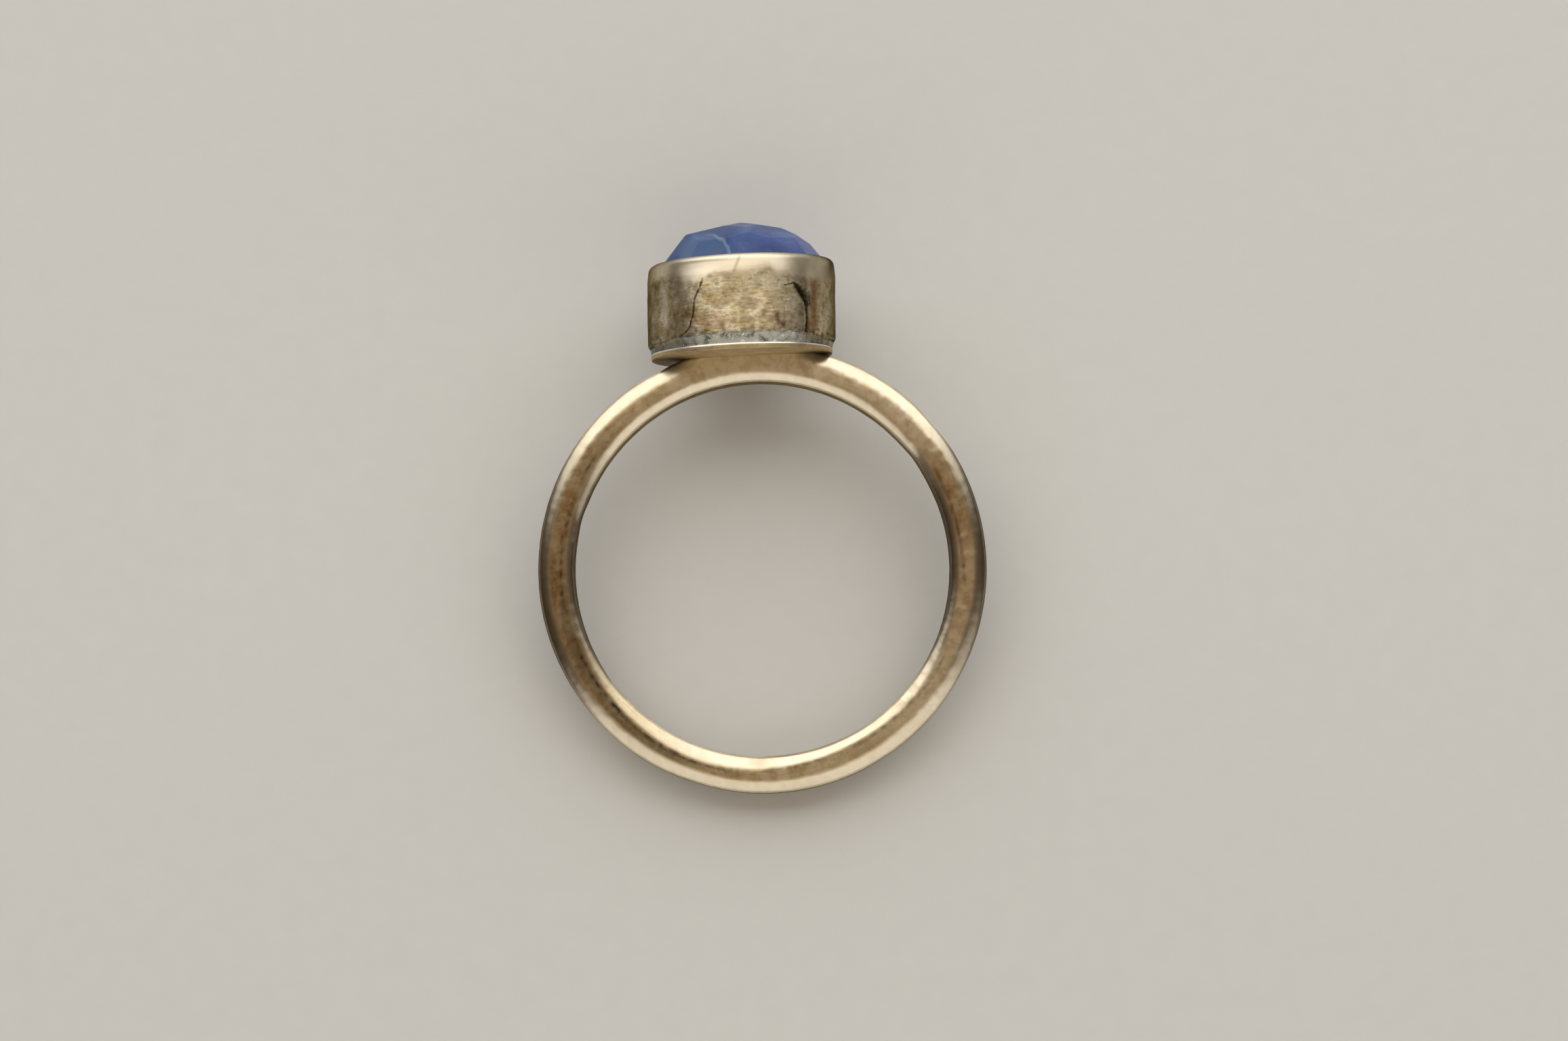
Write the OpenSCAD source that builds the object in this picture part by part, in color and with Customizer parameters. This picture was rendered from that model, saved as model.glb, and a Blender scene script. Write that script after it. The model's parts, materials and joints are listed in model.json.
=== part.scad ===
// A hand-made yellow gold ring lying on its side, with a rose-cut stone in a plain round cup.
// Millimetres. +Z is up, +Y runs from the band towards the stone, and the floor is z = 0.

/* [Band] */
// Inside diameter of the band, European size 53
finger_d = 16.9; // [14:0.1:22]
// Thickness of the band from its inside to its outside
band_t = 1.7; // [1.5:0.05:2.2]
// Width of the band along the finger
band_w = 1.9; // [1.6:0.05:2.4]
// Radius of the band's worn corners
corner_r = 0.45; // [0.3:0.05:0.6]
// Depth filed off the band as a seat for the back plate
seat_cut = 0.5; // [0.3:0.05:0.7]

/* [Back plate] */
// Diameter of the back plate
plate_d = 8.24; // [8:0.02:8.5]
// Thickness of the back plate
plate_t = 0.35; // [0.3:0.05:0.6]
// Sideways shift of the plate, cup and stone off the band's centre line
setting_shift = -0.45; // [-0.5:0.05:0.5]

/* [Cup] */
// Outside diameter of the cup
cup_d = 8.63; // [8.6:0.01:8.8]
// Height of the cup above the back plate
cup_h = 3.95; // [3.2:0.05:4.6]
// Inside diameter of the cup where it holds the stone
cup_bore_d = 8.02; // [8.02:0.01:8.1]
// Inside diameter of the bearing that the stone sits on
bearing_d = 6.9; // [6.2:0.1:7.2]
// Depth of the bearing below the rim
bearing_depth = 1.35; // [1.2:0.05:1.6]
// Height of the soldered foot, which narrows towards the plate
foot_h = 0.35; // [0.2:0.05:0.5]
// Height over which the wall is burnished inwards at the rim
burnish_h = 0.85; // [0.6:0.05:1.1]
// Inside diameter of the burnished lip
lip_d = 7.64; // [7.6:0.01:7.66]

/* [Stone] */
// Diameter of the stone
stone_d = 7.96; // [7.9:0.01:7.96]
// Height of the stone's point above the rim
crown_h = 1.9; // [1.7:0.05:2.1]
// Gap left between the stone and the metal below it
stone_gap = 0.03; // [0.02:0.01:0.05]

/* [Hidden] */
$fn = 96;

// The ring itself has the finger's axis along Z and the stone towards +Y.
inner_r = finger_d / 2;
outer_r = inner_r + band_t;
seat_y = outer_r - seat_cut;
cup_base_y = seat_y + plate_t;
rim_y = cup_base_y + cup_h;

// Lying on its side, the ring touches the floor with the foot of the cup and the band's far corner.
foot_y = cup_base_y + foot_h;
foot_z = cup_d / 2;
far_y = outer_r - corner_r;
far_z = band_w / 2 - corner_r;
span = [foot_y + far_y, foot_z - far_z];
tilt = acos(corner_r / norm(span)) - atan2(span[0], span[1]);
floor_z = -far_y * sin(tilt) - far_z * cos(tilt) - corner_r;
back_y = -far_y * cos(tilt) - far_z * sin(tilt) - corner_r;
front_y = (rim_y + crown_h) * cos(tilt);

// Small sizes of the cup that its profile needs.
foot_step = 0.03;
lip_edge = 0.05;
lip_crest = 0.04;
lip_root = 0.29;

// The burnished curve of the rim as [inset from the wall, depth below the rim].
burnish = [[0, burnish_h], [0.07, 0.45], [0.2, 0.14], [0.36, 0]];

// The cup's wall as [radius, height above the plate], from the foot up and back down inside.
wall_profile = concat(
    [[bearing_d / 2, 0], [plate_d / 2 + foot_step, 0], [cup_d / 2, foot_h]],
    [for (row = burnish) [cup_d / 2 - row[0], cup_h - row[1]]],
    [
        [lip_d / 2 + lip_crest, cup_h],
        [lip_d / 2, cup_h - lip_edge],
        [cup_bore_d / 2, cup_h - lip_root],
        [cup_bore_d / 2, cup_h - bearing_depth],
        [bearing_d / 2, cup_h - bearing_depth],
    ]
);

// Facets of the rose cut: directions round the stone, slope, and where the planes meet its axis.
function evenly(count, first) = [for (i = [0 : count - 1]) first + i * 360 / count];
star_directions = evenly(6, 30);
star_slope = 12.5;
shoulder_directions = [0, 55, 112, 248, 305];
shoulder_slope = 28.5;
shoulder_rise = 0.54;
girdle_directions = evenly(12, 8);
girdle_slope = 52;
// How far inside the lip the middle of a girdle facet passes, so that its corners clear the lip
girdle_tuck = 0.16;
girdle_peak = (lip_d / 2 - girdle_tuck) * tan(girdle_slope) - lip_edge;

// Lays the ring on the floor, centred over the origin.
module lying() {
    translate([0, -(back_y + front_y) / 2, -floor_z])
        rotate([tilt, 0, 0])
            children();
}

// Turns a piece of the setting, drawn round Z, to stand on the band.
module standing_at(y) {
    translate([setting_shift, y, 0])
        rotate([-90, 0, 0])
            children();
}

module band_section() {
    translate([inner_r, -far_z])
        square([band_t, 2 * far_z]);
    translate([inner_r + corner_r, -band_w / 2])
        square([band_t - 2 * corner_r, band_w]);
    for (x = [inner_r + corner_r, outer_r - corner_r], y = [-far_z, far_z])
        translate([x, y])
            circle(r = corner_r);
}

module band() {
    difference() {
        rotate_extrude()
            band_section();
        translate([-outer_r, seat_y + plate_t / 2, -band_w])
            cube([2 * outer_r, outer_r, 2 * band_w]);
    }
}

module back_plate() {
    standing_at(seat_y)
        cylinder(h = plate_t, d = plate_d);
}

module cup_wall() {
    standing_at(cup_base_y)
        rotate_extrude()
            polygon(wall_profile);
}

// Band, back plate and cup are soldered together into one piece of metal.
module gold_ring() {
    color("goldenrod")
        lying() {
            band();
            back_plate();
            cup_wall();
        }
}

// Takes away all that lies above a plane falling at a slope towards each direction.
module facets(directions, slope, peak) {
    for (direction = directions)
        translate([0, 0, peak])
            rotate([0, slope, direction])
                translate([-stone_d, -stone_d, 0])
                    cube([2 * stone_d, 2 * stone_d, 2 * stone_d]);
}

module tanzanite() {
    base_z = stone_gap - bearing_depth;
    color("slateblue")
        lying()
            standing_at(rim_y)
                difference() {
                    translate([0, 0, base_z])
                        cylinder(h = crown_h - base_z, d = stone_d);
                    facets(star_directions, star_slope, crown_h);
                    facets(shoulder_directions, shoulder_slope, crown_h + shoulder_rise);
                    facets(girdle_directions, girdle_slope, girdle_peak);
                }
}

gold_ring();
tanzanite();
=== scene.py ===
import json
from math import atan2, ceil, cos, degrees, exp, hypot, inf, pi, radians, sin, sqrt, tan
from types import SimpleNamespace

import bmesh
import bpy
from mathutils import Matrix, Vector, noise


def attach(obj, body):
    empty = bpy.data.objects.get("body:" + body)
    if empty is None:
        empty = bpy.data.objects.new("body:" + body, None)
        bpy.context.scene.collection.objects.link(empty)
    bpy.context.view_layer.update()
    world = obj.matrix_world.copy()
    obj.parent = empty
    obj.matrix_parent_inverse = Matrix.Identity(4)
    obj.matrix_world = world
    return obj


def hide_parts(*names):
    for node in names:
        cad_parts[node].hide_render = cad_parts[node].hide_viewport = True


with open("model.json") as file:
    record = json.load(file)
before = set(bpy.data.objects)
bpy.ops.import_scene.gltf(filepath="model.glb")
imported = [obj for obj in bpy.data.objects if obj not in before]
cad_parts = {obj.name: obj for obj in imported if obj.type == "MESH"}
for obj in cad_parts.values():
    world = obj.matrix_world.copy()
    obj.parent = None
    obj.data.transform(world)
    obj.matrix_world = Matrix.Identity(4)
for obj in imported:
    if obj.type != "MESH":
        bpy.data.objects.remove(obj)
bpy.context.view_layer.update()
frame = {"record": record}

# The pieces are made on the bench in millimetres, with the finger's axis upright along Z and the
# stone's end towards +Y, and are then laid on the floor where the frame has the finger hole.
mm = 0.001
fingerHole = frame["record"]["mounts"][0]
insideRadius = fingerHole["dims"]["r_mm"]
fingerAxis = Vector(fingerHole["axis"])
ringCentre = Vector(fingerHole["pos_m"])
stoneWay = fingerAxis.cross(Vector((1, 0, 0)))  # from the finger hole towards the stone
ringTilt = atan2(stoneWay.z, stoneWay.y)
settingTilt = ringTilt - pi / 2
benchToFloor = (
    Matrix.Translation(ringCentre) @ Matrix.Rotation(ringTilt, 4, "X") @ Matrix.Scale(mm, 4)
)

# The setting is made upright too, its axis along Z, its plate's underside at zero, front at -Y.
setting = {
    "seatLevel": 9.65,  # how far the plate's underside is from the finger's axis
    "sideShift": -0.51,  # at the plate, off the band's middle
    "lean": 0.033,  # how far the cup leans to the right for each millimetre of height
    "plateThickness": 0.35,
    "plateRadius": 4.12,
    "cupRadius": 4.315,
    "cupHeight": 3.95,
}
cupFoot = setting["plateThickness"]
rimLevel = cupFoot + setting["cupHeight"]
settingToBench = (
    Matrix.Translation((setting["sideShift"], setting["seatLevel"], 0))
    @ Matrix.Rotation(-pi / 2, 4, "X")
)


def clearSelection():
    if bpy.context.mode != "OBJECT":
        bpy.ops.object.mode_set(mode="OBJECT")
    bpy.ops.object.select_all(action="DESELECT")


def selectAll():
    bpy.ops.mesh.select_all(action="SELECT")


def startEditing():  # with the piece's place and size in its mesh
    bpy.ops.object.transform_apply(location=True, rotation=True, scale=True)
    bpy.ops.object.mode_set(mode="EDIT")


def newPiece(name):  # takes the primitive that was just added
    piece = bpy.context.object
    piece.name = name
    piece.data.name = name
    return piece


def pick(piece, kind, test):  # selects the edges or faces that pass the test
    bpy.ops.mesh.select_mode(type=kind)
    bpy.ops.mesh.select_all(action="DESELECT")
    shape = bmesh.from_edit_mesh(piece.data)
    for part in shape.edges if kind == "EDGE" else shape.faces:
        part.select_set(test(part))
    shape.select_flush_mode()
    bmesh.update_edit_mesh(piece.data)


def splitLongEdges(piece, longest):  # cuts a profile's straight stretches into short edges
    lengths = sorted({round(edge.calc_length(), 4) for edge in bmesh.from_edit_mesh(piece.data).edges})
    for length in lengths:
        if length > longest:
            pick(piece, "EDGE", lambda edge: abs(edge.calc_length() - length) < 0.0001)
            bpy.ops.mesh.subdivide(number_cuts=ceil(length / longest) - 1)


def drawProfile(name, corners):  # one vertex pulled from corner to corner, in the XZ plane
    clearSelection()
    bpy.ops.mesh.primitive_plane_add(size=1)
    piece = newPiece(name)
    bpy.ops.object.mode_set(mode="EDIT")
    bpy.ops.mesh.select_mode(type="VERT")
    selectAll()
    bpy.ops.mesh.merge(type="CENTER")
    bpy.ops.transform.translate(value=(corners[0][0], 0, corners[0][1]))
    for start, end in zip(corners, corners[1:]):
        step = (end[0] - start[0], 0, end[1] - start[1])
        bpy.ops.mesh.extrude_vertices_move(TRANSFORM_OT_translate={"value": step})
    selectAll()
    bpy.ops.mesh.remove_doubles(threshold=0.0005)
    return piece


def spinProfile(piece, steps):  # once round Z, closed into one skin with its faces outwards
    slices = 8  # one slice is spun, then doubled until the circle is full, which is much quicker
    bpy.ops.mesh.select_mode(type="VERT")
    selectAll()
    bpy.ops.mesh.spin(
        steps=steps // slices, angle=2 * pi / slices, center=(0, 0, 0), axis=(0, 0, 1), use_auto_merge=False
    )
    while slices > 1:
        selectAll()
        bpy.ops.mesh.duplicate()
        bpy.ops.transform.rotate(value=2 * pi / slices, orient_axis="Z", center_override=(0, 0, 0))
        slices //= 2
    selectAll()
    bpy.ops.mesh.remove_doubles(threshold=0.0005)
    bpy.ops.mesh.normals_make_consistent(inside=False)
    bpy.ops.object.mode_set(mode="OBJECT")


def pullIn(vertex, depth):  # straight towards the Z axis
    share = depth / hypot(vertex.co.x, vertex.co.y)
    vertex.co.x -= vertex.co.x * share
    vertex.co.y -= vertex.co.y * share


def keepOnPoints(piece, names, finish):  # numbers for each vertex, which the material reads
    for name, values in zip(names, zip(*finish)):
        attribute = piece.data.attributes.new(name=name, type="FLOAT", domain="POINT")
        attribute.data.foreach_set("value", values)


def smoothStep(low, high, value):
    share = min(1, max(0, (value - low) / (high - low)))
    return share * share * (3 - 2 * share)


def wobble(x, y, z, size):  # gentle noise from -1 to 1 whose lumps are about size across
    return noise.noise(Vector((x, y, z)) / size)


def lumps(x, y, z, size):  # the same noise from 0 to 1
    return 0.5 + 0.5 * wobble(x, y, z, size)


def bell(away):  # 1 in the middle of a soft mark, fading to nearly 0 at two half widths
    return exp(-away * away)


def distanceToLine(across, up, line):  # from a place on the wall to a line of (across, up) points
    nearest = inf
    for (x1, y1), (x2, y2) in zip(line, line[1:]):
        along = ((across - x1) * (x2 - x1) + (up - y1) * (y2 - y1)) / ((x2 - x1) ** 2 + (y2 - y1) ** 2)
        share = min(1, max(0, along))
        nearest = min(nearest, hypot(across - x1 - share * (x2 - x1), up - y1 - share * (y2 - y1)))
    return nearest


def crossing(line, value, known=1):  # where a line of two-number places passes a value
    other = 1 - known
    for start, end in zip(line, line[1:]):
        if start[known] <= value <= end[known]:
            share = (value - start[known]) / (end[known] - start[known])
            return start[other] + share * (end[other] - start[other])
    return line[0][other] if value < line[0][known] else line[-1][other]


def standOnSetting(piece, level):  # moves an upright piece to its level in the leaning setting
    lean = Matrix.Identity(4)
    lean[0][2] = setting["lean"]
    piece.data.transform(settingToBench @ lean @ Matrix.Translation((0, 0, level)))


def onSettingAxis(level):  # where that level is in the finished scene, for a material
    return benchToFloor @ settingToBench @ Vector((0, 0, level))


def finishPiece(piece, material, node, smoothAngle=40):
    clearSelection()
    piece.select_set(True)
    bpy.context.view_layer.objects.active = piece
    bpy.ops.object.shade_smooth_by_angle(angle=radians(smoothAngle))
    piece.data.materials.clear()
    piece.data.materials.append(material)
    piece.data.transform(benchToFloor)
    piece.data.update()
    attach(piece, "root")
    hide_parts(node)


# Materials


def hexColour(text):  # sRGB hex to the linear colour that a shader takes
    channels = [int(text[i:i + 2], 16) / 255 for i in (0, 2, 4)]
    linear = [c / 12.92 if c <= 0.04045 else ((c + 0.055) / 1.055) ** 2.4 for c in channels]
    return (*linear, 1)


def addNode(tree, kind, values=None, settings=None):  # gives the outputs of the new node
    node = tree.nodes.new("ShaderNode" + kind)
    for name, value in (settings or {}).items():
        setattr(node, name, value)
    for name, value in (values or {}).items():
        if isinstance(value, bpy.types.NodeSocket):
            tree.links.new(value, node.inputs[name])
        else:
            node.inputs[name].default_value = value
    return node.outputs


def newMaterial(name):
    material = bpy.data.materials.new(name)
    material.use_nodes = True
    material.node_tree.nodes.clear()
    return material, material.node_tree


# Yellow gold of about 14 ct, drawn as wire and sheet, soldered, filed and brushed round and round
# with a fine abrasive: reflections smear across the brush lines and stay crisp on the rubbed edges.
goldLook = {
    "rubbed": "eae0cc",  # bright metal on the corners, also the painted sheen on the band's side faces and the cup's ridge
    "bright": "c8b994",
    "warm": "ac9670",
    "copperAndSheen": "a67d58",  # where the alloy's copper shows through, also the painted reddish sheen at the band's left and right
    "grime": "5a4426",  # left in the brush lines
    # tarnish, and painted shade on the band's faces and walls, the cup's sides and the plate's underside
    "tarnishAndShade": "2f2518",
    "edge": "5f5744",  # what a glancing reflection is tinted with: dark, a painted shade on the silhouettes
    "brushedRoughness": 0.33,
    "polishedRoughness": 0.28,
    "lineRoughness": 0.1,  # how much rougher or smoother a brush line is
    "anisotropy": 0.6,
    "brushLength": 1.1,
    "brushSpacing": 0.09,  # real lines are about 0.02 mm, drawn coarser so that they show
    "brushDepth": 0.006,
    "scratchShare": 0.25,  # how much of the brush lines' depth is left where the metal is polished
    "grimeShare": 0.5,
    "grimeRange": (0.98, 1.3),  # of the specks and brush lines together, from none to most
    "specksPerMm": 6.0,
    "patchSize": 1.3,
    "warmRange": (0.38, 0.66),  # of the patches, from bright to warm
}


def brushedGold(name, look, axisPoint, axisTurn):
    material, tree = newMaterial(name)
    place = addNode(tree, "TexCoord")["Object"]
    onBench = addNode(
        tree, "Mapping",
        {"Vector": place, "Location": axisPoint, "Rotation": (axisTurn, 0, 0), "Scale": (mm, mm, mm)},
        {"vector_type": "TEXTURE"},
    )["Vector"]
    parts = addNode(tree, "SeparateXYZ", {"Vector": onBench})
    flat = addNode(tree, "CombineXYZ", {"X": parts["X"], "Y": parts["Y"]})["Vector"]
    radius = addNode(tree, "VectorMath", {0: flat}, {"operation": "LENGTH"})["Value"]
    around = addNode(tree, "VectorMath", {0: flat}, {"operation": "NORMALIZE"})["Vector"]

    # Brush lines follow the circumference: long round it, short across it
    stretched = addNode(
        tree, "VectorMath", {0: around, "Scale": look["middleRadius"] / look["brushLength"]},
        {"operation": "SCALE"},
    )["Vector"]
    acrossIn, acrossUp = (
        addNode(tree, "Math", {0: part, 1: 1 / look["brushSpacing"]}, {"operation": "MULTIPLY"})[0]
        for part in (radius, parts["Z"])
    )
    inward = addNode(tree, "CombineXYZ", {"Z": acrossIn})["Vector"]
    brushPlace = addNode(tree, "VectorMath", {0: stretched, 1: inward}, {"operation": "ADD"})["Vector"]
    brushLines = addNode(
        tree, "TexNoise",
        {"Vector": brushPlace, "W": acrossUp, "Scale": 1.0, "Detail": 3.0, "Roughness": 0.6},
        {"noise_dimensions": "4D"},
    )["Fac"]
    patches = addNode(
        tree, "TexNoise",
        {"Vector": onBench, "Scale": 1 / look["patchSize"], "Detail": 5.0, "Roughness": 0.65},
    )["Fac"]
    specks = addNode(
        tree, "TexNoise",
        {"Vector": onBench, "Scale": look["specksPerMm"], "Detail": 3.0, "Roughness": 0.6},
    )["Fac"]

    # these carry painted sheen and shade as well as polish, tarnish and copper
    polishAndSheen, tarnishAndShade, copperAndSheen = (
        addNode(tree, "Attribute", settings={"attribute_name": kept})["Fac"]
        for kept in ("polishAndSheen", "tarnishAndShade", "copperAndSheen")
    )
    dull = addNode(tree, "Math", {0: 1.0, 1: polishAndSheen}, {"operation": "SUBTRACT"})["Value"]
    low, high = look["warmRange"]
    warmShare = addNode(
        tree, "MapRange", {"Value": patches, "From Min": low, "From Max": high}
    )["Result"]
    speckled = addNode(tree, "Math", {0: specks, 1: brushLines}, {"operation": "ADD"})["Value"]
    low, high = look["grimeRange"]
    grimeShare = addNode(
        tree, "MapRange",
        {"Value": speckled, "From Min": low, "From Max": high, "To Max": look["grimeShare"]},
    )["Result"]
    dullGrime = addNode(tree, "Math", {0: grimeShare, 1: dull}, {"operation": "MULTIPLY"})["Value"]
    colour = hexColour(look["bright"])
    layers = {
        "warm": warmShare, "copperAndSheen": copperAndSheen, "grime": dullGrime, "rubbed": polishAndSheen, "tarnishAndShade": tarnishAndShade,
    }
    for layer, share in layers.items():
        colour = addNode(
            tree, "Mix", {0: share, 6: colour, 7: hexColour(look[layer])}, {"data_type": "RGBA"}
        )[2]

    baseRoughness = addNode(
        tree, "MapRange",
        {"Value": polishAndSheen, "To Min": look["brushedRoughness"], "To Max": look["polishedRoughness"]},
    )["Result"]
    lineRoughness = addNode(
        tree, "MapRange",
        {
            "Value": brushLines, "From Min": 0.2, "From Max": 0.8,
            "To Min": -look["lineRoughness"], "To Max": look["lineRoughness"],
        },
    )["Result"]
    roughness = addNode(
        tree, "Math", {0: dull, 1: lineRoughness, 2: baseRoughness}, {"operation": "MULTIPLY_ADD"}
    )["Value"]
    lineShare = addNode(tree, "MapRange", {"Value": dull, "To Min": look["scratchShare"]})["Result"]
    lineHeight = addNode(
        tree, "Math", {0: brushLines, 1: lineShare}, {"operation": "MULTIPLY"}
    )["Value"]
    bump = addNode(
        tree, "Bump", {"Strength": 1.0, "Distance": look["brushDepth"] * mm, "Height": lineHeight}
    )["Normal"]
    fromAxis = addNode(
        tree, "VectorMath", {0: place, 1: axisPoint}, {"operation": "SUBTRACT"}
    )["Vector"]
    axis = Matrix.Rotation(axisTurn, 3, "X") @ Vector((0, 0, 1))
    brushWay = addNode(
        tree, "VectorMath", {0: axis, 1: fromAxis}, {"operation": "CROSS_PRODUCT"}
    )["Vector"]
    shader = addNode(  # turned a quarter, so that highlights smear across the brush lines
        tree, "BsdfPrincipled",
        {
            "Base Color": colour, "Metallic": 1.0, "Roughness": roughness, "Normal": bump,
            "Anisotropic": look["anisotropy"], "Anisotropic Rotation": 0.25, "Tangent": brushWay,
            # the dark edge tint is painted shade in glancing reflections
            "Specular Tint": hexColour(look["edge"]),
        },
    )
    addNode(tree, "OutputMaterial", {"Surface": shader["BSDF"]})
    return material


# Old silver solder with flux and polishing soot left in it: dull blue-grey metal, pitted and specked, with
# painted shade towards its left and right
solderLook = {
    "grey": "b2b3aa",
    "dark": "33342f",
    "light": "ebeae4",
    # the painted shade towards the seam's left and right
    "tarnishAndShade": "3c3828",
    "roughness": 0.42,
    "pitSize": 0.32,
    "pitDepth": 0.008,
    "darkRange": (0.48, 0.66),  # of the pits, from none to most
    "glintSize": 0.16,
    "lightRange": (0.58, 0.76),  # of the glints
}


def tarnishedSolder(name, look):
    material, tree = newMaterial(name)
    place = addNode(tree, "TexCoord")["Object"]
    onBench = addNode(
        tree, "Mapping", {"Vector": place, "Location": ringCentre, "Scale": (mm, mm, mm)},
        {"vector_type": "TEXTURE"},
    )["Vector"]
    pits = addNode(
        tree, "TexNoise",
        {"Vector": onBench, "Scale": 1 / look["pitSize"], "Detail": 4.0, "Roughness": 0.7},
    )["Fac"]
    glints = addNode(
        tree, "TexNoise", {"Vector": onBench, "Scale": 1 / look["glintSize"], "Detail": 2.0}
    )["Fac"]
    # painted shade towards the seam's left and right
    tarnishAndShade = addNode(tree, "Attribute", settings={"attribute_name": "tarnishAndShade"})["Fac"]
    layers = {}
    for layer, pattern in (("dark", pits), ("light", glints)):
        low, high = look[layer + "Range"]
        layers[layer] = addNode(
            tree, "MapRange", {"Value": pattern, "From Min": low, "From Max": high}
        )["Result"]
    layers["tarnishAndShade"] = tarnishAndShade
    colour = hexColour(look["grey"])
    for layer, share in layers.items():
        colour = addNode(
            tree, "Mix", {0: share, 6: colour, 7: hexColour(look[layer])}, {"data_type": "RGBA"}
        )[2]
    bump = addNode(
        tree, "Bump", {"Strength": 1.0, "Distance": look["pitDepth"] * mm, "Height": pits}
    )["Normal"]
    shader = addNode(
        tree, "BsdfPrincipled",
        {"Base Color": colour, "Metallic": 1.0, "Roughness": look["roughness"], "Normal": bump},
    )
    addNode(tree, "OutputMaterial", {"Surface": shader["BSDF"]})
    return material


# Faceted tanzanite, clouded inside: blue from one side and violet from the other, with pale veils,
# and facets polished by hand so that they gleam softly.
stoneLook = {
    "blue": "335890",
    "violet": "505ea8",
    "veil": "6683b4",
    "deep": "223e6a",
    "feather": "98adca",
    "roughness": 0.33,
    "ior": 1.69,
    "specular": 0.12,  # a quarter of a clean stone's, because its polish is hazed
    "transmission": 0.2,
    "milkiness": 0.8,  # share of the light that spreads inside before it comes out again
    "spread": 2.5,  # how far it spreads
    "spreadColours": (0.6, 0.7, 1.0),  # shares of that for red, green and blue light
    "cloudSize": 1.6,
    "threadSize": 2.0,
    # The big feather, as seen from the front, in millimetres from the middle of the rim
    "featherCentre": (-1.55, 0.1, 0),
    "featherRadius": 1.08,
    "featherBend": 0.5,
    # Shares of colours as (where there is none, where there is most, how much at most)
    "violetShare": (-2.0, 3.5, 1.0),  # from left to right
    "deepShare": (0.5, 0.3, 0.7),  # in the cloud
    "veilShare": (0.52, 0.72, 0.6),
    "thickShare": (0.9, 1.6, 0.5),  # above the rim: the colour is deepest where the stone is thickest
    "threadShare": (0.025, 0, 0.6),  # from the middle of a thread
    "crackShare": (0.12, 0, 0.65),  # from the line of the big feather
    "milkShare": (0.04, -0.2, 0.45),  # from outside that line to inside it
    "openShare": (-1.6, -0.9, 1.0),  # from left to right, because the line is open at its left end
    "frontShare": (-1.0, -2.0, 1.0),  # towards the front
}


def cloudedTanzanite(name, look):
    material, tree = newMaterial(name)
    place = addNode(tree, "TexCoord")["Object"]
    rimShade = addNode(
        tree, "Mapping",
        {
            "Vector": place, "Location": onSettingAxis(rimLevel), "Rotation": (settingTilt, 0, 0),
            "Scale": (mm, mm, mm),
        },
        {"vector_type": "TEXTURE"},
    )["Vector"]
    parts = addNode(tree, "SeparateXYZ", {"Vector": rimShade})
    cloud = addNode(
        tree, "TexNoise",
        {"Vector": rimShade, "Scale": 1 / look["cloudSize"], "Detail": 4.0, "Distortion": 0.8},
    )["Fac"]

    # A few thin curved feathers like threads, where a second cloud passes its middle value
    bends = addNode(
        tree, "TexNoise",
        {"Vector": rimShade, "Scale": 1 / look["threadSize"], "Detail": 1.0, "Distortion": 1.5},
    )["Fac"]
    fromMiddle = addNode(tree, "Math", {0: bends, 1: 0.5}, {"operation": "SUBTRACT"})["Value"]
    fromThread = addNode(tree, "Math", {0: fromMiddle}, {"operation": "ABSOLUTE"})["Value"]

    # One big feather in the front: a curved crack, milky on its inner side
    seenFlat = addNode(tree, "CombineXYZ", {"X": parts["X"], "Y": parts["Z"]})["Vector"]
    reach = addNode(
        tree, "VectorMath", {0: seenFlat, 1: look["featherCentre"]}, {"operation": "DISTANCE"}
    )["Value"]
    past = addNode(
        tree, "Math", {0: reach, 1: look["featherRadius"]}, {"operation": "SUBTRACT"}
    )["Value"]
    bent = addNode(
        tree, "Math", {0: fromMiddle, 1: look["featherBend"], 2: past}, {"operation": "MULTIPLY_ADD"}
    )["Value"]
    fromCrack = addNode(tree, "Math", {0: bent}, {"operation": "ABSOLUTE"})["Value"]

    shares = {}
    measures = {
        "violet": parts["X"], "deep": cloud, "veil": cloud, "thick": parts["Z"], "thread": fromThread,
        "crack": fromCrack, "milk": bent, "open": parts["X"], "front": parts["Y"],
    }
    for name, measure in measures.items():
        none, most, share = look[name + "Share"]
        shares[name] = addNode(
            tree, "MapRange", {"Value": measure, "From Min": none, "From Max": most, "To Max": share}
        )["Result"]
    for name, other, operation in (
        ("deep", "thick", "MAXIMUM"), ("thread", "veil", "MULTIPLY"), ("milk", "front", "MULTIPLY"),
        ("crack", "open", "MULTIPLY"), ("crack", "front", "MULTIPLY"),
    ):
        shares[name] = addNode(
            tree, "Math", {0: shares[name], 1: shares[other]}, {"operation": operation}
        )["Value"]
    colour = hexColour(look["blue"])
    for name, layer in (
        ("violet", "violet"), ("deep", "deep"), ("veil", "veil"), ("thread", "feather"),
        ("milk", "veil"), ("crack", "feather"),
    ):
        colour = addNode(
            tree, "Mix", {0: shares[name], 6: colour, 7: hexColour(look[layer])}, {"data_type": "RGBA"}
        )[2]
    shader = addNode(
        tree, "BsdfPrincipled",
        {
            "Base Color": colour, "Roughness": look["roughness"], "IOR": look["ior"],
            "Transmission Weight": look["transmission"], "Specular IOR Level": look["specular"],
            "Subsurface Weight": look["milkiness"], "Subsurface Scale": look["spread"] * mm,
            "Subsurface Radius": look["spreadColours"],
        },
    )
    addNode(tree, "OutputMaterial", {"Surface": shader["BSDF"]})
    return material


# Band

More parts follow.
